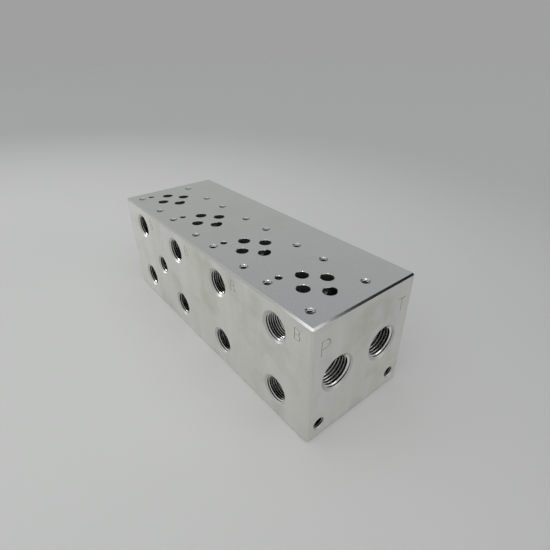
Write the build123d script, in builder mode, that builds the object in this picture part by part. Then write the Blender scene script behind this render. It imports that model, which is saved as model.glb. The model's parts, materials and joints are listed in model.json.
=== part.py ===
"""Four-station bar manifold for size 03 directional valves (ISO 4401-03, NFPA D03).

One block of aluminium bar, drilled from its outside. Each station on top takes one valve. A
pressure gallery and a tank gallery run the whole length and feed every station in parallel, with a
pipe port at each end. Each station's two work ports come out on one long side, and a gauge port on
that side meets the pressure gallery.

Frame: origin at the middle of the bottom face, +X along the bar, +Z up to the valve faces. The
work ports are on the -Y side.
"""

import math
import os

from build123d import *

# ---- the bar -----------------------------------------------------------------------------------
length = 217.0
width = 77.0
height = 78.0
edge_break = 1.0

# ---- the stations along it ---------------------------------------------------------------------
stations = 4
station_pitch = 54.1
port_face_to_pattern = 29.3  # from the ported side to the middle of the valve pattern

# ---- one valve face, as the standard states it -------------------------------------------------
# The standard's first coordinate falls towards +Y on the bar, and its second towards +X.
bolt_points = [(0.0, 0.0), (40.5, -0.75), (40.5, 31.75), (0.0, 31.0)]
pin_point = (33.0, 31.75)
pressure_point = (21.5, 25.9)
tank_point = (21.5, 5.1)
work_a_point = (12.7, 15.5)
work_b_point = (30.2, 15.5)
pattern_middle = (20.25, 15.5)

face_port_diameter = 7.5
bolt_tap_diameter = 3.8  # for a 10-24 thread
bolt_countersink_diameter = 5.4
bolt_hole_depth = 16.0
pin_diameter = 4.0
pin_depth = 5.0

# ---- galleries ---------------------------------------------------------------------------------
gallery_diameter = 17.0
gallery_drop = 0.75  # below the level half way between the two rows of work ports
port_face_to_pressure_gallery = 20.0
port_face_to_tank_gallery = 55.9

# ---- end ports, for a 1/2-14 pipe thread -------------------------------------------------------
end_port_diameter = 18.3
end_port_mouth = 23.1
end_port_depth = 17.0

# ---- work ports, for a 3/8-18 pipe thread ------------------------------------------------------
work_port_diameter = 14.7
work_port_mouth = 18.6
work_port_depth = 15.5
work_drill_diameter = 8.7
valve_face_to_upper_row = 15.1
lower_row_height = 18.6

# ---- gauge port, for a 1/4-18 pipe thread ------------------------------------------------------
gauge_port_diameter = 11.1
gauge_port_mouth = 15.0
gauge_port_depth = 9.0
gauge_drill_diameter = 6.4
gauge_bay = 1  # it stands between stations 1 and 2, counted from the -X end

# ---- mounting holes in each end, for a 5/16-18 thread ------------------------------------------
mount_tap_diameter = 6.6
mount_countersink_diameter = 8.3
mount_hole_depth = 13.0
mount_hole_span = 60.0
mount_hole_height = 9.5

# ---- drilling ----------------------------------------------------------------------------------
port_mouth_angle = 120.0
break_angle = 90.0
overrun = 2.0  # a drilling ends this far past the axis of the one it meets
tank_entry_depth = 3.0
tank_drill_diameter = 6.2
tank_drill_offset = 0.7  # the slanted drill enters this far from the port's middle

# ---- places that follow ------------------------------------------------------------------------
port_face = -width / 2
pattern_y = port_face + port_face_to_pattern
pressure_gallery_y = port_face + port_face_to_pressure_gallery
tank_gallery_y = port_face + port_face_to_tank_gallery
upper_row_height = height - valve_face_to_upper_row
gallery_height = (upper_row_height + lower_row_height) / 2 - gallery_drop
gauge_x = (gauge_bay - stations / 2) * station_pitch


def on_bar(point):
    """A point of the standard's valve face, as (x, y) from the middle of its station."""
    return (pattern_middle[1] - point[1], pattern_y + pattern_middle[0] - point[0])


def cone_length(wide, narrow, angle):
    """How deep a cone of this full angle is, from one diameter to a smaller one."""
    return (wide - narrow) / 2 / math.tan(math.radians(angle / 2))


def drilling(bore, depth, mouth=0.0, mouth_angle=break_angle, pilot=0.0, reach=0.0):
    """The metal that a step drill takes out, going down from the XY plane at the origin.

    bore, mouth and pilot are diameters. The mouth is a chamfer that narrows to the bore. The bore
    is full size to depth, and the pilot carries on to reach. Steps and ends are cut square, as a
    port tool leaves them.
    """
    above = 1.0
    tool_outline = [(0, above)]
    if mouth:
        flare = above * math.tan(math.radians(mouth_angle / 2))
        tool_outline.append((mouth / 2 + flare, above))
        tool_outline.append((bore / 2, -cone_length(mouth, bore, mouth_angle)))
    else:
        tool_outline.append((bore / 2, above))
    tool_outline.append((bore / 2, -depth))
    if pilot:
        tool_outline.append((pilot / 2, -depth))
        tool_outline.append((pilot / 2, -reach))
        tool_outline.append((0, -reach))
    else:
        tool_outline.append((0, -depth))
    with BuildPart() as tool:
        with BuildSketch(Plane.XZ):
            with BuildLine():
                Polyline(*tool_outline, close=True)
            make_face()
        revolve(axis=Axis.Z)
    return tool.part


# ---- drillings down from a valve face ----------------------------------------------------------
def face_drop(depth):
    """The drilling under one of the four ports of a valve face."""
    return drilling(face_port_diameter, depth)


bolt_hole = drilling(bolt_tap_diameter, bolt_hole_depth, mouth=bolt_countersink_diameter)
pin_hole = drilling(pin_diameter, pin_depth)
work_a_drop = face_drop(height - lower_row_height + overrun)
work_b_drop = face_drop(height - upper_row_height + overrun)
pressure_drop = face_drop(height - gallery_height + overrun)
tank_entry = face_drop(tank_entry_depth)

# The tank gallery is off to the side of the valve face, so its drilling slants across to it.
tank_x, tank_y = on_bar(tank_point)
tank_start = Vector(tank_x, tank_y + tank_drill_offset, 0)
tank_run = Vector(tank_x, tank_gallery_y, gallery_height - height) - tank_start
with BuildPart() as tank_slant:
    with BuildSketch(Plane(origin=tank_start, x_dir=(1, 0, 0), z_dir=tank_run)):
        Circle(tank_drill_diameter / 2)
    extrude(amount=tank_run.length)

# ---- drillings in from the ported side ---------------------------------------------------------
work_a_y = on_bar(work_a_point)[1]
work_b_y = on_bar(work_b_point)[1]


def work_port(drop_y):
    """A work port with its pilot carried in to the drop from the valve face."""
    return drilling(
        work_port_diameter,
        work_port_depth,
        mouth=work_port_mouth,
        mouth_angle=port_mouth_angle,
        pilot=work_drill_diameter,
        reach=drop_y - port_face + overrun,
    )


upper_work_port = work_port(work_b_y)
lower_work_port = work_port(work_a_y)
gauge_port = drilling(
    gauge_port_diameter,
    gauge_port_depth,
    mouth=gauge_port_mouth,
    mouth_angle=port_mouth_angle,
    pilot=gauge_drill_diameter,
    reach=port_face_to_pressure_gallery,
)

# ---- drillings in from an end ------------------------------------------------------------------
# Each gallery is drilled half way from both ends.
end_port = drilling(
    end_port_diameter,
    end_port_depth,
    mouth=end_port_mouth,
    mouth_angle=port_mouth_angle,
    pilot=gallery_diameter,
    reach=length / 2,
)
mount_hole = drilling(mount_tap_diameter, mount_hole_depth, mouth=mount_countersink_diameter)

# ---- the manifold ------------------------------------------------------------------------------
valve_faces = Plane.XY.offset(height)
ported_side = Plane(origin=(0, port_face, 0), x_dir=(1, 0, 0), z_dir=(0, -1, 0))
near_end = Plane(origin=(length / 2, 0, 0), x_dir=(0, 1, 0), z_dir=(1, 0, 0))
far_end = Plane(origin=(-length / 2, 0, 0), x_dir=(0, 1, 0), z_dir=(-1, 0, 0))

with BuildPart() as manifold_block:
    with BuildSketch():
        Rectangle(length, width)
    extrude(amount=height)
    chamfer(manifold_block.edges(), edge_break)

    with Locations(valve_faces):
        with GridLocations(station_pitch, 0, stations, 1):
            with Locations(*[on_bar(point) for point in bolt_points]):
                add(bolt_hole, mode=Mode.SUBTRACT)
            with Locations(on_bar(pin_point)):
                add(pin_hole, mode=Mode.SUBTRACT)
            with Locations(on_bar(work_a_point)):
                add(work_a_drop, mode=Mode.SUBTRACT)
            with Locations(on_bar(work_b_point)):
                add(work_b_drop, mode=Mode.SUBTRACT)
            with Locations(on_bar(pressure_point)):
                add(pressure_drop, mode=Mode.SUBTRACT)
            with Locations(on_bar(tank_point)):
                add(tank_entry, mode=Mode.SUBTRACT)
            add(tank_slant.part, mode=Mode.SUBTRACT)

    with Locations(ported_side):
        with GridLocations(station_pitch, 0, stations, 1):
            with Locations((0, upper_row_height)):
                add(upper_work_port, mode=Mode.SUBTRACT)
            with Locations((0, lower_row_height)):
                add(lower_work_port, mode=Mode.SUBTRACT)
        with Locations((gauge_x, gallery_height)):
            add(gauge_port, mode=Mode.SUBTRACT)

    for end in (near_end, far_end):
        up = end.to_local_coords(Vector(*end.origin) + Vector(0, 0, 1)).Y
        with Locations(end):
            with Locations(
                (pressure_gallery_y, up * gallery_height),
                (tank_gallery_y, up * gallery_height),
            ):
                add(end_port, mode=Mode.SUBTRACT)
            with Locations(
                (-mount_hole_span / 2, up * mount_hole_height),
                (mount_hole_span / 2, up * mount_hole_height),
            ):
                add(mount_hole, mode=Mode.SUBTRACT)

manifold_block.part.label = "manifold_block"
os.makedirs("parts", exist_ok=True)
export_step(manifold_block.part, "parts/manifold_block.step")
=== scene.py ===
# %% [markdown]
# # A four-station manifold block in milled aluminium
#
# The real object is one length of aluminium bar. A saw cuts it, a mill squares its six faces, drills
# open its galleries and ports, and taps cut the threads. Nothing is bolted on, so the scene has one
# piece, and it is made here in the order of the machine shop: start from the drilled block, run the
# taps, break the edges of the valve ports, stamp the port letters, and then give each surface the
# finish that its tool leaves.

import json
import math

import bmesh
import bpy
from mathutils import Matrix, Vector


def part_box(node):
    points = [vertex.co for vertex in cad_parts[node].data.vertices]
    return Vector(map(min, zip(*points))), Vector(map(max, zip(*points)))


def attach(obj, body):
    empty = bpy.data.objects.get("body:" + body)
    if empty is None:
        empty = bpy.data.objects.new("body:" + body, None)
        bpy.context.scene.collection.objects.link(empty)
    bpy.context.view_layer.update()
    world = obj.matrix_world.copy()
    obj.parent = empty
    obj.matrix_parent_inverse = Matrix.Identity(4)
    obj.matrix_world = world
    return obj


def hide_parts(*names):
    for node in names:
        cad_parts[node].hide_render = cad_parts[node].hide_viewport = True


MM = 0.001  # everything in Blender is in metres, and a drawing of a block is in millimetres
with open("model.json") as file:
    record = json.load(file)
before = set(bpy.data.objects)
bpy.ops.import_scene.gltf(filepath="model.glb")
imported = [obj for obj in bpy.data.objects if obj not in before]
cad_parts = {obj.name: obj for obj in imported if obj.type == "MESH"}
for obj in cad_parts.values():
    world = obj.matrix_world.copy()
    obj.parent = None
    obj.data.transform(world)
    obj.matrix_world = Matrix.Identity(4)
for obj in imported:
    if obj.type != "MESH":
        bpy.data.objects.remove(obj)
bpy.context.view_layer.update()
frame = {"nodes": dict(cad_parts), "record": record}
drilled = frame["nodes"]["manifold_block"]
low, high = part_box("manifold_block")
mounts = {m["name"]: m for m in frame["record"]["mounts"]}
print("block, mm:", [round(v / MM, 1) for v in high - low])

# %% [markdown]
# ## The camera
#
# The block stands on a table and is seen from above one corner, so that the valve faces, the side
# with the work ports and one end all show. A short lens near the part gives the strong convergence
# that a small camera has when it is held close. Its direction is set by three axes at right angles
# rather than by a target, because three axes also fix how the camera is tilted.

# %% Camera
scene = bpy.context.scene
camera_data = bpy.data.cameras.new("camera")
camera = bpy.data.objects.new("camera", camera_data)
scene.collection.objects.link(camera)
camera_data.lens = 25.5
camera_data.sensor_width = 36.0
camera.location = Vector((201.77, -134.49, 186.83)) * MM
forward = Vector((-0.6668, 0.5362, -0.5176)).normalized()
sideways = Vector((0.6297, 0.7768, -0.0064))
upright = sideways.cross(forward).normalized()
sideways = forward.cross(upright)
camera.rotation_euler = Matrix((sideways, upright, -forward)).transposed().to_euler()
scene.camera = camera
print("camera at, mm:", [round(v / MM) for v in camera.location])

# %% [markdown]
# ## The table
#
# Bare metal has hardly any colour of its own: each face shows what it mirrors. The side and the end
# mirror the table, so the table matters as much as a lamp does. A round plate is all the geometry
# that a flat table needs, and it is wide enough for its edge to be lost in the distance.

# %% A round table
TABLE_RADIUS = 4.0


def disc(name, radius, z):
    mesh = bpy.data.meshes.new(name)
    bm = bmesh.new()
    bmesh.ops.create_circle(bm, cap_ends=True, segments=96, radius=radius)
    bm.to_mesh(mesh)
    bm.free()
    obj = bpy.data.objects.new(name, mesh)
    obj.location.z = z
    scene.collection.objects.link(obj)
    return obj


table = disc("table", TABLE_RADIUS, low.z)
print("table, m across:", 2 * TABLE_RADIUS)

# %% [markdown]
# A pale cloth lies on the table. It is lightest to the left of the block, where the window reaches
# it, and falls into shade further off. Lamps could make that fall of light, but they would shade the
# block too. Here a colour ramp over the distance from the lightest place makes it.

# %% Cloth
LIGHTEST_PLACE = (-0.20, -0.25, 0)


def ramp(nodes, stops):
    """A colour ramp from (position, colour) pairs."""
    node = nodes.new("ShaderNodeValToRGB")
    elements = node.color_ramp.elements
    while len(elements) < len(stops):
        elements.new(0.5)
    for element, (position, colour) in zip(elements, stops):
        element.position = position
        element.color = (*colour, 1)
    return node


cloth = bpy.data.materials.new("table_cloth")
cloth.use_nodes = True
nodes, link = cloth.node_tree.nodes, cloth.node_tree.links.new
place = nodes.new("ShaderNodeTexCoord")
away = nodes.new("ShaderNodeVectorMath")
away.operation = "DISTANCE"
away.inputs[1].default_value = LIGHTEST_PLACE
link(place.outputs["Object"], away.inputs[0])
shade = ramp(nodes, [(0.05, (0.645, 0.648, 0.633)), (0.21, (0.44, 0.44, 0.437))])
shade.color_ramp.interpolation = "EASE"
share = nodes.new("ShaderNodeMath")
share.operation = "DIVIDE"
share.inputs[1].default_value = TABLE_RADIUS
link(away.outputs["Value"], share.inputs[0])
link(share.outputs["Value"], shade.inputs["Fac"])
link(shade.outputs["Color"], nodes["Principled BSDF"].inputs["Base Color"])
nodes["Principled BSDF"].inputs["Roughness"].default_value = 0.9
nodes["Principled BSDF"].inputs["Specular IOR Level"].default_value = 0.1
table.data.materials.append(cloth)
print("cloth shade runs, m:", [round(e.position * TABLE_RADIUS, 2) for e in shade.color_ramp.elements])

# %% [markdown]
# ## The room
#
# The valve faces on top mirror the room behind the block, so the room is a soft ramp: paler low down
# and greyer towards the ceiling. A mirror also needs something dark to show. One dark patch, out to
# the right like an unlit opening, draws the black line along the top edge of the end face.

# %% Room
DARK_OPENING = Vector((0.435, 0.819, 0.375)).normalized()
scene.view_settings.view_transform = "Standard"
world = bpy.data.worlds.new("room")
world.use_nodes = True
scene.world = world
nodes, link = world.node_tree.nodes, world.node_tree.links.new
way = nodes.new("ShaderNodeTexCoord")
height = nodes.new("ShaderNodeSeparateXYZ")
link(way.outputs["Generated"], height.inputs["Vector"])
walls = ramp(nodes, [(0.0, (0.45, 0.455, 0.44)), (0.42, (0.42, 0.425, 0.415)), (0.8, (0.29, 0.30, 0.32))])
link(height.outputs["Z"], walls.inputs["Fac"])
towards = nodes.new("ShaderNodeVectorMath")
towards.operation = "DOT_PRODUCT"
towards.inputs[1].default_value = DARK_OPENING
link(way.outputs["Generated"], towards.inputs[0])
patch = ramp(nodes, [(0.93, (1, 1, 1)), (0.965, (0.02, 0.02, 0.03))])
link(towards.outputs["Value"], patch.inputs["Fac"])
shaded = nodes.new("ShaderNodeMix")
shaded.data_type = "RGBA"
shaded.blend_type = "MULTIPLY"
shaded.inputs["Factor"].default_value = 1.0
link(walls.outputs["Color"], shaded.inputs["A"])
link(patch.outputs["Color"], shaded.inputs["B"])
link(shaded.outputs["Result"], nodes["Background"].inputs["Color"])
print("room:", len(nodes), "nodes")

# %% [markdown]
# What the camera sees past the table need not be what lights the block. The camera gets one even
# grey there, so the horizon stays quiet, while the metal still mirrors the room.

# %% Backdrop
backdrop = nodes.new("ShaderNodeBackground")
backdrop.inputs["Color"].default_value = (0.352, 0.353, 0.353, 1)
seen = nodes.new("ShaderNodeLightPath")
choose = nodes.new("ShaderNodeMixShader")
link(seen.outputs["Is Camera Ray"], choose.inputs["Fac"])
link(nodes["Background"].outputs["Background"], choose.inputs[1])
link(backdrop.outputs["Background"], choose.inputs[2])
link(choose.outputs["Shader"], nodes["World Output"].inputs["Surface"])
print("backdrop grey:", round(backdrop.inputs["Color"].default_value[0], 3))

# %% [markdown]
# ## The lamps
#
# Windows and open doors light a workshop softly, and square lamps stand for them. The window is low
# and far to the left, so that it reaches into the side ports. The far window and the doorway are
# past the end of the block and fill its end face. Small lamps would leave hard spots on each smooth
# edge, and these are broad enough not to.

# %% Windows and a doorway
def soft_lamp(name, place, size, power):
    """A square lamp aimed at the block. Lengths in metres, power in watts."""
    data = bpy.data.lights.new(name, "AREA")
    data.shape = "SQUARE"
    data.size = size
    data.energy = power
    obj = bpy.data.objects.new(name, data)
    obj.location = place
    obj.rotation_euler = (-Vector(place)).to_track_quat("-Z", "Y").to_euler()
    scene.collection.objects.link(obj)


soft_lamp("window", (-1.68, -1.15, 0.16), 0.45, 5)
soft_lamp("far_window", (1.08, 0.70, 0.86), 0.3, 0.13)
soft_lamp("doorway", (1.9, 1.1, 0.5), 0.9, 2.2)
print("lamps:", ", ".join(lamp.name for lamp in bpy.data.lights))

# %% [markdown]
# A pale ceiling gives the most even light of all. It comes from so far off that it has no distance,
# only a direction and a width, which is what a sun lamp in Blender is. A narrow one inside it stands
# for a lamp tube, and gives the small cones round the screw holes their bright points.

# %% Ceiling
def distant_lamp(name, towards, energy, degrees):
    """Even light from far away, spread over a disc of sky this wide. Energy in watts per square metre."""
    data = bpy.data.lights.new(name, "SUN")
    data.energy = energy
    data.angle = math.radians(degrees)
    obj = bpy.data.objects.new(name, data)
    obj.rotation_euler = Vector(towards).to_track_quat("Z", "Y").to_euler()
    scene.collection.objects.link(obj)


distant_lamp("ceiling", (0.16, -0.30, 0.94), 1.42, 106)
distant_lamp("ceiling_tube", (0.30, -0.43, 0.85), 0.13, 10)
print("lamps:", ", ".join(lamp.name for lamp in bpy.data.lights))

# %% [markdown]
# ## A working copy of the block
#
# Each tool leaves its own surface on the real block, so a finish here is named for what made it. The
# drilled block arrives with no finishes. They could be picked by hand, face by face, but here a rule
# gives each face its finish from where it lies and how it is turned. The rule still holds when the
# block is made in another size.

# %% The finishes by name
FINISHES = ["milled_face", "side_face", "edge_chamfer", "port_mouth", "countersink", "drilled_bore",
            "cut_thread", "stamped_mark"]
MILLED, SIDE, EDGE, MOUTH, SINK, BORE, THREAD, STAMP = range(len(FINISHES))
finishes = [bpy.data.materials.new(name) for name in FINISHES]
print("finishes:", ", ".join(FINISHES))

# %% Which face gets which finish
SKIN = 0.1 * MM  # a face this near the outside is part of the outside
BROKEN_EDGE = 1.1 * MM
MOUTH_DEPTH = 2 * MM


def new_piece(name, bm):
    """A mesh object with the block's list of finishes."""
    mesh = bpy.data.meshes.new(name)
    bm.to_mesh(mesh)
    bm.free()
    for material in finishes:
        mesh.materials.append(material)
    obj = bpy.data.objects.new(name, mesh)
    scene.collection.objects.link(obj)
    return obj


def surface_of(face):
    """Which finish a face of the drilled block takes, from where it lies and how it is turned."""
    centre = face.calc_center_median()
    reach = [min(centre[i] - low[i], high[i] - centre[i]) for i in range(3)]
    tilt = [abs(c) for c in face.normal]
    for axis in range(3):
        if tilt[axis] > 0.999 and reach[axis] < SKIN:
            return MILLED if axis == 2 else SIDE
    if sorted(reach)[1] < BROKEN_EDGE:
        return EDGE if tilt[2] > 0.5 and centre.z > high.z / 2 else SIDE
    near_skin = reach.index(min(reach))
    if reach[near_skin] < MOUTH_DEPTH and tilt[near_skin] > 0.3:
        return SINK if near_skin == 2 else MOUTH
    return BORE


working = bmesh.new()
working.from_mesh(drilled.data)
bmesh.ops.remove_doubles(working, verts=working.verts, dist=1e-6)
for face in working.faces:
    face.material_index = surface_of(face)
block = new_piece("manifold", working)
print("working copy:", len(block.data.polygons), "faces")

# %% [markdown]
# ## The shape of a tap
#
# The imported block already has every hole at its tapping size. A tap is a screw with cutting edges:
# it leaves a helical groove in the wall of the hole. The same thing is done here. Each tap is a
# closed mesh, a core with one ridge wound round it, and subtracting it from the block cuts the
# thread. A drawn pattern of rings would be cheaper, but its lines would never run out of the mouth
# of the port as a real thread does.
#
# The core is a hair wider than the hole, so no slivers of the old wall are left. Pipe taps narrow by
# one part in sixteen as they go in, so their groove gets shallower with depth, and at the tip of
# every tap the thread fades out.

# %% The side of a tap
FLANK_SLOPE = math.tan(math.radians(30))  # both flanks of a 60-degree thread
PIPE_CREST, SCREW_CREST = 0.04, 0.125  # the flat at the root of the groove, as a share of the pitch
CORE_CLEARANCE = 0.01 * MM
TURNS_ABOVE = 1.5
FADING_TURNS = 2


def tap_side(bm, pitch, drill_radius, thread_radius, length, taper, steps):
    """The vertices of a tap, in one column for each place round it. Each column runs down the side,
    four vertices to a turn: two on the crest of the ridge and two on the core."""
    crest = pitch * (PIPE_CREST if taper else SCREW_CREST)
    core = drill_radius / math.cos(math.pi / steps) + CORE_CLEARANCE
    flank = min((thread_radius - core) * FLANK_SLOPE, (pitch - crest) / 2 * 0.98)
    stations = [(0, True), (crest, True), (crest + flank, False), (pitch - flank, False)]
    start = TURNS_ABOVE * pitch
    rows = 4 * int((length + start) / pitch + 1) + 1
    columns = []
    for i in range(steps):
        turn = -2 * math.pi * i / steps
        column = []
        for j in range(rows):
            offset, on_crest = stations[j % 4]
            z = start - pitch * (j // 4 + i / steps) - offset
            crest_radius = thread_radius + taper / 2 * z
            fade = min(1.0, max(0.0, (z + length) / (FADING_TURNS * pitch)))
            radius = core + (crest_radius - core) * fade if on_crest else core
            column.append(bm.verts.new((radius * math.cos(turn), radius * math.sin(turn), z)))
        columns.append(column)
    return columns


print("flanks rise", round(FLANK_SLOPE, 3), "mm per mm")

# %% [markdown]
# Wound once round, a column meets its neighbour one turn lower. So the last column is joined to the
# first with a slip of one turn, which is four vertices. That slip is what makes a helix out of
# rings. It leaves a step at each end, and the two caps are fans that close over those steps. A cutter
# has to be closed, or Blender can't tell its inside from its outside.

# %% A closed tap
def tap(pitch, drill_radius, thread_radius, length, taper=0.0, steps=40):
    """One tap pointing down from the XY plane, in metres."""
    bm = bmesh.new()
    columns = tap_side(bm, pitch, drill_radius, thread_radius, length, taper, steps)
    rows = len(columns[0])
    for i in range(steps):
        here, beside = columns[i], columns[(i + 1) % steps]
        slip = 4 if i == steps - 1 else 0
        for j in range(rows - 1 - slip):
            bm.faces.new((here[j], here[j + 1], beside[j + 1 + slip], beside[j + slip]))
    mouth = [c[0] for c in columns] + columns[0][4::-1][:-1]
    tip = columns[-1][rows - 5:][::-1][:-1]
    tip = [c[-1] for c in columns] + tip[1:] + [columns[-1][rows - 5]]
    for loop, z in ((mouth, (TURNS_ABOVE + 1) * pitch), (tip, columns[-1][-1].co.z - pitch / 4)):
        centre = bm.verts.new((0, 0, z))
        for a, b in zip(loop, loop[1:] + loop[:1]):
            bm.faces.new((a, b, centre))
    bmesh.ops.recalc_face_normals(bm, faces=bm.faces)
    for face in bm.faces:
        face.material_index = THREAD
    return bm


trial = tap(1 * MM, 4 * MM, 4.6 * MM, 5 * MM)
print("a trial tap of pitch 1 mm:", len(trial.faces), "faces, closed:", all(e.is_manifold for e in trial.edges))
trial.free()

# %% [markdown]
# ## Cutting
#
# In the shop the taps are run one by one. Here all of them are joined into one cutter, because one
# subtraction is quicker than many and gives the same block. The manifold solver needs closed meshes
# and keeps the material of each face, so a cut surface brings its own finish with it.

# %% Placing, joining and cutting
def placed(bm, place, axis):
    """The mesh moved so that its XY plane lies on the face at place, with +Z along axis."""
    turn = Vector(axis).to_track_quat("Z", "Y").to_matrix().to_4x4()
    bm.transform(Matrix.Translation(place) @ turn)
    return bm


def joined(name, meshes):
    """Several separate cutters as one object."""
    whole = bmesh.new()
    for bm in meshes:
        part = bpy.data.meshes.new("part")
        bm.to_mesh(part)
        bm.free()
        whole.from_mesh(part)
        bpy.data.meshes.remove(part)
    return new_piece(name, whole)


def cut(block, cutter):
    """Subtracts a cutter from the block for good, and takes the cutter away."""
    step = block.modifiers.new("cut", "BOOLEAN")
    step.operation = "DIFFERENCE"
    step.solver = "MANIFOLD"
    step.object = cutter
    bpy.context.view_layer.update()
    result = bpy.data.meshes.new_from_object(block.evaluated_get(bpy.context.evaluated_depsgraph_get()))
    block.modifiers.remove(step)
    block.data = result
    bpy.data.objects.remove(cutter)
    print("after the cut:", len(result.polygons), "faces")


# %% [markdown]
# ## Running the taps
#
# The sizes are those of real taps: tapered pipe taps of three sizes for the oil, and two straight
# ones for screws. The places could be typed in too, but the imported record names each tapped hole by
# its port, so every tap goes where its hole is.

# %% Tap sizes, in millimetres
INCH = 25.4
pipe_half = dict(pitch=INCH / 14, thread=10.61, length=14.0, taper=1 / 16)
pipe_three_eighths = dict(pitch=INCH / 18, thread=8.53, length=11.5, taper=1 / 16)
pipe_quarter = dict(pitch=INCH / 18, thread=6.81, length=8.0, taper=1 / 16)
screw_five_sixteenths = dict(pitch=INCH / 18, thread=3.97, length=11.0, taper=0.0)
screw_ten = dict(pitch=INCH / 24, thread=2.41, length=13.0, taper=0.0)


def size_for(name):
    """The tap for a hole, from the name of its mount."""
    if "foot" in name:
        return screw_five_sixteenths
    if "gauge" in name:
        return pipe_quarter
    return pipe_half if "end" in name else pipe_three_eighths


print("largest tap, mm across:", 2 * pipe_half["thread"])

# %% Ports and foot screws
def on_skin(point, axis):
    """The point moved along axis to the outside of the block."""
    place = Vector(point)
    for i in range(3):
        if axis[i] > 0.5:
            place[i] = high[i]
        elif axis[i] < -0.5:
            place[i] = low[i]
    return place


def tapped(size, drill_mm, place, axis, steps=40):
    """A tap of one size, standing in its hole."""
    bm = tap(size["pitch"] * MM, drill_mm * MM, size["thread"] * MM, size["length"] * MM, size["taper"], steps)
    return placed(bm, place, axis)


taps = []
for name, mount in mounts.items():
    if mount["kind"] == "threaded_hole":
        place = on_skin(mount["pos_m"], mount["axis"])
        steps = 24 if "foot" in name else 40
        taps.append(tapped(size_for(name), mount["dims"]["r_mm"], place, mount["axis"], steps))
print("taps for ports and foot screws:", len(taps))

# %% [markdown]
# Four small screws hold each valve. The record gives the middle of each station, and the pattern
# round it is the same for every valve of this size.

# %% Valve screws
UP = (0, 0, 1)
VALVE_SCREW_DRILL = 1.9  # radius, mm
BOLT_OFFSETS = [(15.5, 20.25), (16.25, -20.25), (-16.25, -20.25), (-15.5, 20.25)]
station_middles = [Vector(mounts[f"station_{n}_bolts"]["pos_m"]) for n in (1, 2, 3, 4)]
for middle in station_middles:
    for dx, dy in BOLT_OFFSETS:
        place = on_skin(middle + Vector((dx, dy, 0)) * MM, UP)
        taps.append(tapped(screw_ten, VALVE_SCREW_DRILL, place, UP, 20))
print("taps in all:", len(taps))
cut(block, joined("taps", taps))

# %% [markdown]
# ## Breaking the edges of the face ports
#
# A drill leaves a sharp burr. The fitter takes it off the valve ports and the pin holes with a
# countersink, just enough not to cut an O-ring. A bevel on the hole's edge could give the same
# shape, but a cone is what the tool is, and subtracting it works on a mesh of any layout. Each cone
# is small, and shows as a bright arc because it leans towards the light.

# %% Deburring cones
FACE_PORT_OFFSETS = [(-10.4, -1.25), (10.4, -1.25), (0, 7.55), (0, -9.95)]
PIN_OFFSET = (-16.25, -12.75)
PORT_CONE, PIN_CONE = 3.98, 2.3  # radius on the skin, mm


def deburring_cone(radius_mm, place):
    """A 90-degree cone whose circle on the skin of the block has this radius."""
    bm = bmesh.new()
    below, above = 1.0, 0.5
    bmesh.ops.create_cone(bm, cap_ends=True, segments=64, radius1=(radius_mm - below) * MM,
                          radius2=(radius_mm + above) * MM, depth=(below + above) * MM)
    bmesh.ops.translate(bm, verts=bm.verts, vec=(0, 0, (above - below) / 2 * MM))
    for face in bm.faces:
        face.material_index = SINK
    return placed(bm, place, UP)


cones = []
for middle in station_middles:
    for radius, offsets in ((PORT_CONE, FACE_PORT_OFFSETS), (PIN_CONE, [PIN_OFFSET])):
        for dx, dy in offsets:
            cones.append(deburring_cone(radius, on_skin(middle + Vector((dx, dy, 0)) * MM, UP)))
print("cones:", len(cones))
cut(block, joined("cones", cones))

# %% [markdown]
# ## Stamping the port letters
#
# A hydraulic block is marked by its ports, so that a fitter can pipe it: P for pressure, T for tank,
# A and B for the two lines to the actuator. They are hit in with steel punches, which leave a
# V-shaped groove about a quarter of a millimetre deep. A font could give the outlines, but a punch
# letter is only a few plain strokes, so each letter is drawn here as lines in a square of side one.

# %% Letter strokes
def bowl(top, bottom, width=0.6, steps=8):
    """The round of a letter, from its stem at the top back to its stem at the bottom."""
    radius = (top - bottom) / 2
    arc = []
    for i in range(steps + 1):
        turn = math.pi * (0.5 - i / steps)
        arc.append((width - radius + radius * math.cos(turn), (top + bottom) / 2 + radius * math.sin(turn)))
    return [(0.0, top)] + arc + [(0.0, bottom)]


STROKES = {
    "P": [[(0, 0), (0, 1)], bowl(0.98, 0.45)],
    "T": [[(0.33, 0), (0.33, 1)], [(0, 0.98), (0.66, 0.98)]],
    "B": [[(0, 0), (0, 1)], bowl(0.98, 0.52, 0.52), bowl(0.5, 0.02, 0.58)],
}
print("strokes:", {letter: len(strokes) for letter, strokes in STROKES.items()})

# %% [markdown]
# The cutter for one stroke is a V-shaped bar. Its two upper edges stand clear above the metal, its
# lower edge is the bottom of the groove, and each ring of three vertices is square to the line.

# %% A groove along a line
def groove(line, size_mm, half_width=0.32, depth=0.25):
    """A V-shaped bar along a line of letter points, standing proud of the skin by its own depth."""
    points = [Vector((x, y, 0)) * size_mm for x, y in line]
    bm = bmesh.new()
    rings = []
    for i, point in enumerate(points):
        before = (point - points[i - 1]).normalized() if i else None
        after = (points[i + 1] - point).normalized() if i + 1 < len(points) else None
        along = ((before or after) + (after or before)).normalized()
        across = Vector((-along.y, along.x, 0)) / max(0.6, along.dot(after or before))
        ring = [point + across * 2 * half_width, point - across * 2 * half_width, point.copy()]
        ring[0].z = ring[1].z = depth
        ring[2].z = -depth
        rings.append([bm.verts.new(p * MM) for p in ring])
    for a, b in zip(rings, rings[1:]):
        for k in range(3):
            bm.faces.new((a[k], a[(k + 1) % 3], b[(k + 1) % 3], b[k]))
    bm.faces.new(rings[0])
    bm.faces.new(rings[-1][::-1])
    bmesh.ops.recalc_face_normals(bm, faces=bm.faces)
    for face in bm.faces:
        face.material_index = STAMP
    return bm


trial = groove(STROKES["P"][1], 1.0)
print("the round of a P:", len(trial.faces), "faces")
trial.free()

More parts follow.
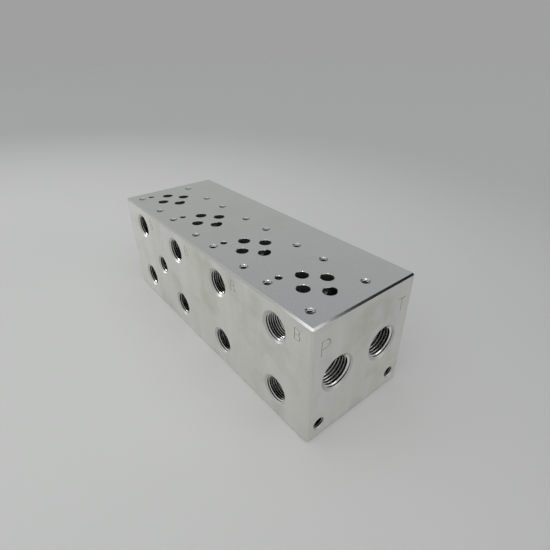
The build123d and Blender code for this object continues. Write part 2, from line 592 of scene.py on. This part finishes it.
# %% [markdown]
# P and T stand over the two end ports, in places that are given here. A B stands beside each upper
# port of the side, so it takes its place from the record of that port. Strokes that cross are cut one
# after another, because a cutter must not run through itself.

# %% Punching
END_FACE = Matrix(((0, 0, 1), (1, 0, 0), (0, 1, 0))).to_4x4()
SIDE_FACE = Matrix(((1, 0, 0), (0, 0, -1), (0, 1, 0))).to_4x4()
stamps = [("P", 9.3, END_FACE, (high.x, -0.0318, 0.0585)), ("T", 8.8, END_FACE, (high.x, 0.0270, 0.0567))]
for name, mount in mounts.items():
    if name[0] == "B" and name[1:].isdigit():
        x, z = mount["pos_m"][0], mount["pos_m"][2]
        stamps.append(("B", 6.8, SIDE_FACE, (x + 0.0154, low.y, z + 0.0028)))
print("letters:", "".join(stamp[0] for stamp in stamps))

for layer in range(max(len(strokes) for strokes in STROKES.values())):
    grooves = []
    for letter, size, turned, corner in stamps:
        if layer < len(STROKES[letter]):
            bm = groove(STROKES[letter][layer], size)
            bm.transform(Matrix.Translation(corner) @ turned)
            grooves.append(bm)
    cut(block, joined("grooves", grooves))

# %% [markdown]
# ## What each tool leaves behind
#
# Three things make one bare metal face differ from the next: how rough it is, the direction of its
# tool marks, and what hands and coolant left on it. Painted images could show that, but nodes stay
# sharp at any distance and need no unwrapping. Each effect is a node group with named inputs. It
# puts out plain values, and each finish mixes the groups it needs with its own numbers.
#
# Three short helpers keep the trees readable. One sets a node's inputs, one does a step of
# arithmetic, and one maps a value softly from one range to another.

# %% Helpers for node trees
def wire(tree, node, **inputs):
    """Sets a node's inputs, by name or by number (i0, i1). Underscores stand for spaces in a name."""
    for name, value in inputs.items():
        key = int(name[1:]) if name[0] == "i" and name[1:].isdigit() else name.replace("_", " ")
        if isinstance(value, bpy.types.NodeSocket):
            tree.links.new(value, node.inputs[key])
        else:
            node.inputs[key].default_value = value
    return node


def calc(tree, operation, a, b=0.0, c=0.0):
    """One step of arithmetic."""
    node = tree.nodes.new("ShaderNodeMath")
    node.operation = operation
    return wire(tree, node, i0=a, i1=b, i2=c).outputs[0]


def span(tree, value, low_in, high_in, low_out=0.0, high_out=1.0):
    """Maps a value smoothly from one range to another."""
    node = tree.nodes.new("ShaderNodeMapRange")
    node.interpolation_type = "SMOOTHSTEP"
    wire(tree, node, Value=value, From_Min=low_in, From_Max=high_in, To_Min=low_out, To_Max=high_out)
    return node.outputs[0]


# %% [markdown]
# Every mark has a real size, so the patterns are laid out in millimetres on the block and don't
# stretch with it. Noise is cloudy by nature. Scaled less along one direction than along another, it
# turns into streaks and lines.

# %% Helpers for patterns
def place_mm(tree, size=1.0):
    """Where a point lies on the block, in millimetres divided by size."""
    where = tree.nodes.new("ShaderNodeTexCoord")
    scaled = tree.nodes.new("ShaderNodeVectorMath")
    scaled.operation = "SCALE"
    wire(tree, scaled, Vector=where.outputs["Object"], Scale=calc(tree, "DIVIDE", 1000.0, size))
    return scaled.outputs["Vector"]


def noise(tree, place, scale, detail=3.0, stretch=(1, 1, 1), offset=0.0):
    """Cloudy values over a place, scale in cycles per unit."""
    mapped = wire(tree, tree.nodes.new("ShaderNodeMapping"), Vector=place, Scale=[scale * s for s in stretch])
    mapped.inputs["Location"].default_value = (offset, offset * 0.7, offset * 1.3)
    node = tree.nodes.new("ShaderNodeTexNoise")
    return wire(tree, node, Vector=mapped.outputs["Vector"], Scale=1.0, Detail=detail).outputs["Fac"]


def new_group(name, inputs, outputs):
    """A node group of plain values. Inputs have default values."""
    tree = bpy.data.node_groups.new(name, "ShaderNodeTree")
    for label, default in inputs.items():
        socket = tree.interface.new_socket(label, in_out="INPUT", socket_type="NodeSocketFloat")
        socket.default_value = default
    for label in outputs:
        tree.interface.new_socket(label, in_out="OUTPUT", socket_type="NodeSocketFloat")
    return tree, tree.nodes.new("NodeGroupInput").outputs, tree.nodes.new("NodeGroupOutput")


print("patterns are laid out on a block of", [round(v / MM) for v in high - low], "mm")

# %% [markdown]
# ### Mill arcs
#
# A face mill turns as the table feeds the bar along X. Each turn leaves an arc as wide as the cutter.
# The arcs repeat at the feed per turn, and they shine a little unevenly because the cutter's teeth
# differ. One sine over the distance travelled gives the arcs, and a one-way noise gives the bands.

# %% Mill arcs group
mill_arcs, given, out = new_group("mill_arcs", {"Feed mm": 0.5, "Sweep mm": 62.0}, ["Height", "Band"])
xyz = wire(mill_arcs, mill_arcs.nodes.new("ShaderNodeSeparateXYZ"), Vector=place_mm(mill_arcs))
reach = calc(mill_arcs, "SUBTRACT", calc(mill_arcs, "MULTIPLY", given["Sweep mm"], given["Sweep mm"]),
             calc(mill_arcs, "MULTIPLY", xyz.outputs["Y"], xyz.outputs["Y"]))
travel = calc(mill_arcs, "ADD", xyz.outputs["X"], calc(mill_arcs, "SQRT", reach))
turns = calc(mill_arcs, "DIVIDE", travel, given["Feed mm"])
wave = calc(mill_arcs, "SINE", calc(mill_arcs, "MULTIPLY", turns, 2 * math.pi))
teeth = mill_arcs.nodes.new("ShaderNodeTexNoise")
teeth.noise_dimensions = "1D"
wire(mill_arcs, teeth, W=turns, Scale=0.4, Detail=4.0)
wire(mill_arcs, out, Height=calc(mill_arcs, "MULTIPLY_ADD", wave, 0.5, 0.5), Band=teeth.outputs["Fac"])
print("mill arcs:", len(mill_arcs.nodes), "nodes")

# %% [markdown]
# ### Upright streaks
#
# The sides and ends are milled with the bar standing against the side of the cutter, so their fine
# lines are upright. Coolant that dried as it ran down left paler and darker bands the same way.
# Both are the same noise, drawn out upright. The lines are fine and long, the bands broad.

# %% Upright streaks group
upright_streaks, given, out = new_group("upright_streaks", {"Line mm": 0.6, "Band mm": 11.0}, ["Line", "Band"])
fine = noise(upright_streaks, place_mm(upright_streaks, given["Line mm"]), 1.0, 2.0, (1, 1, 0.012))
broad = noise(upright_streaks, place_mm(upright_streaks, given["Band mm"]), 1.0, 4.0, (1, 1, 0.09), 4.0)
wire(upright_streaks, out, Line=fine, Band=span(upright_streaks, broad, 0.34, 0.70))
print("upright streaks:", len(upright_streaks.nodes), "nodes")

# %% [markdown]
# ### Handling
#
# A part that has crossed a bench has smudges, a few hair-thin scratches and an even fine grain. A
# scratch is a cloud stretched until it is a line, of which only the strongest are kept. Two slants
# are enough to keep the scratches from looking combed.

# %% Handling group
handling, given, out = new_group("handling", {"Smudge mm": 22.0, "Grain mm": 0.4}, ["Smudge", "Scratch", "Grain"])
clouds = noise(handling, place_mm(handling, given["Smudge mm"]), 1.0, 5.0, offset=9.0)
bench = place_mm(handling)
hairs = []
for angle, offset in ((0.35, 21.0), (-0.22, 5.0)):
    turned = handling.nodes.new("ShaderNodeVectorRotate")
    wire(handling, turned, Vector=bench, Axis=(0.3, 0.2, 1), Angle=angle)
    cloud = noise(handling, turned.outputs["Vector"], 1.0, 1.0, (0.035, 1.7, 0.2), offset)
    hairs.append(span(handling, cloud, 0.765, 0.80))
wire(handling, out, Smudge=span(handling, clouds, 0.46, 0.74), Scratch=calc(handling, "MAXIMUM", *hairs))
wire(handling, out, Grain=noise(handling, place_mm(handling, given["Grain mm"]), 1.0, 4.0))
print("handling:", len(handling.nodes), "nodes")

# %% [markdown]
# ### One finish from its numbers
#
# Every finish here is bare aluminium, so they share one recipe: a metal whose colour moves between
# clean and stained, whose roughness is stirred by the marks, and whose surface is lifted by them.
# Shade is painted into the colour where a surface has metal close in front of it: the shader looks for nooks
# about as deep as a thread, and for places far down a port.

# %% Painted shade in nooks
NOOK_MM = 1.6
DEPTH_MM = 9.0
# The colour of the painted shade, deep in nooks and far down the ports.
PAINTED_SHADE = (0.04, 0.04, 0.035, 1)


def place_group(tree, shared, **values):
    """One of the groups above, placed in a material with its own values."""
    node = tree.nodes.new("ShaderNodeGroup")
    node.node_tree = shared
    return wire(tree, node, **values).outputs


def tinted(tree, factor, a, b):
    """Mixes two colours by a factor."""
    node = tree.nodes.new("ShaderNodeMix")
    node.data_type = "RGBA"
    return wire(tree, node, i0=factor, i6=a, i7=b).outputs[2]


def with_painted_shade(tree, colour, recess_shade):
    """The colour, darkened with painted shade where the surface has metal close in front of it."""
    open_to = [wire(tree, tree.nodes.new("ShaderNodeAmbientOcclusion"), Distance=reach * MM).outputs["AO"]
               for reach in (NOOK_MM, DEPTH_MM)]
    hidden = calc(tree, "MAXIMUM", span(tree, open_to[0], 0.3, 1.0, recess_shade, 0.0),
                  span(tree, open_to[1], 0.05, 0.45, recess_shade, 0.0))
    return tinted(tree, hidden, colour, PAINTED_SHADE)


# The darkening found within these distances is painted shade.
print("residue is looked for within", NOOK_MM, "and", DEPTH_MM, "mm")

# %% [markdown]
# A Bump node changes only the shading, as if the surface rose by about a hundredth of a millimetre.
# That is the size of a tool mark. It would be wrong for a thread, whose grooves show in outline, so
# those are real geometry. Each kind of mark also stirs the roughness by a share of its own.

# %% Recipe
BUMP_HEIGHT = 0.01 * MM
STAIN_ROUGHENS = 0.06
ARC_ROUGHENS = 0.8
LINE_ROUGHENS = 0.25
SCRATCH_DEPTH = -12


def bare_metal(index, clean, stained, roughness, arcs=0.0, lines=0.0, bands=0.0, smudge=0.5, smudge_mm=7.0,
               grain=0.08, recess_shade=0.0):
    """Fills in one finish. The last numbers say how strongly each kind of mark shows on it."""
    material = finishes[index]
    material.use_nodes = True
    tree = material.node_tree
    hands = place_group(tree, handling, Smudge_mm=smudge_mm)
    dirt = calc(tree, "MULTIPLY", hands["Smudge"], smudge)
    rough = calc(tree, "MULTIPLY_ADD", calc(tree, "SUBTRACT", hands["Grain"], 0.5), grain, roughness)
    rough = calc(tree, "MULTIPLY_ADD", dirt, STAIN_ROUGHENS, rough)
    rough = calc(tree, "MULTIPLY_ADD", hands["Scratch"], 2 * grain, rough)
    relief = calc(tree, "MULTIPLY", hands["Scratch"], SCRATCH_DEPTH * grain)
    if arcs:
        mill = place_group(tree, mill_arcs)
        uneven = calc(tree, "SUBTRACT", mill["Band"], 0.5)
        rough = calc(tree, "MULTIPLY_ADD", uneven, ARC_ROUGHENS * arcs, rough)
        relief = calc(tree, "MULTIPLY_ADD", mill["Height"], arcs, relief)
    if lines:
        streak = place_group(tree, upright_streaks)
        dirt = calc(tree, "MINIMUM", calc(tree, "MULTIPLY_ADD", streak["Band"], bands, dirt), 1.0)
        uneven = calc(tree, "SUBTRACT", streak["Line"], 0.5)
        rough = calc(tree, "MULTIPLY_ADD", uneven, LINE_ROUGHENS * lines, rough)
        relief = calc(tree, "MULTIPLY_ADD", streak["Line"], 2 * lines, relief)
    colour = tinted(tree, dirt, (*clean, 1), (*stained, 1))
    # Painted shade in nooks and far down a port, mixed into the colour.
    if recess_shade:
        colour = with_painted_shade(tree, colour, recess_shade)
    bump = wire(tree, tree.nodes.new("ShaderNodeBump"), Height=relief, Strength=0.35, Distance=BUMP_HEIGHT)
    wire(tree, tree.nodes["Principled BSDF"], Metallic=1.0, Base_Color=colour, Roughness=rough,
         Normal=bump.outputs["Normal"])
    print(material.name + ":", len(tree.nodes), "nodes, roughness about", roughness)


# %% [markdown]
# ### The flat faces and the edges
#
# The valve faces must be flat enough to seal an O-ring, so the top is the finest milled face and the
# closest to a mirror. The sides only carry pipe fittings: they are rougher, so they look paler and
# even. The top edges are broken with a sharp tool and shine.

# %% Flat faces and edges
bare_metal(MILLED, (0.80, 0.81, 0.81), (0.74, 0.745, 0.725), 0.23, arcs=0.12, smudge=0.5, smudge_mm=30.0)
bare_metal(SIDE, (0.805, 0.803, 0.768), (0.63, 0.628, 0.565), 0.46, lines=0.5, bands=0.26, smudge=0.55,
           smudge_mm=20.0)
bare_metal(EDGE, (0.88, 0.88, 0.88), (0.82, 0.82, 0.82), 0.14, smudge=0.2, grain=0.0)

# %% [markdown]
# ### The holes and the letters
#
# Inside a hole less light comes back, and the bores get a darker colour than the faces as painted shade for that.
# The countersunk mouths of the pipe ports are dull. The small cones on top are cut clean, but their colour is
# kept low, because they lean straight into the light. A fresh thread is the brightest of all, with painted shade
# in its roots and far down the port, and a punched groove is darker than the face round it.

# %% Holes and letters
bare_metal(MOUTH, (0.63, 0.63, 0.60), (0.53, 0.53, 0.49), 0.42, smudge=0.5)
bare_metal(SINK, (0.46, 0.46, 0.45), (0.38, 0.38, 0.36), 0.16, smudge=0.4, grain=0.0)
# Painted shade: the bores are darker than the faces to stand for the shade inside a hole.
bare_metal(BORE, (0.34, 0.34, 0.33), (0.26, 0.26, 0.24), 0.36, smudge=0.6)
# The thread's roots and the far end of the port get painted shade.
bare_metal(THREAD, (0.92, 0.92, 0.90), (0.76, 0.76, 0.72), 0.18, smudge=0.5, recess_shade=0.95)
# The punched grooves get a darker colour than the face round them.
bare_metal(STAMP, (0.46, 0.46, 0.42), (0.38, 0.38, 0.34), 0.50, smudge=0.6)

# %% [markdown]
# ## Shading and hand-over
#
# Flat faces stay flat. Round ones are smoothed, with a crease wherever two surfaces meet at more than
# 28 degrees, so thread flanks stay crisp. Smoothing everything would be simpler, but near the holes it
# would bend the light on faces that are truly flat.

# %% Shading
CREASE_DEGREES = 28
mesh = block.data
if "custom_normal" in mesh.attributes:
    mesh.attributes.remove(mesh.attributes["custom_normal"])
mesh.shade_smooth()
mesh.set_sharp_from_angle(angle=math.radians(CREASE_DEGREES))
for polygon in mesh.polygons:
    polygon.use_smooth = polygon.material_index in (MOUTH, SINK, BORE, THREAD)
print("triangles:", sum(len(p.vertices) - 2 for p in mesh.polygons))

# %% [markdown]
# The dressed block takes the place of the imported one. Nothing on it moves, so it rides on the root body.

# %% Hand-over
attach(block, "root")
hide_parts("manifold_block")
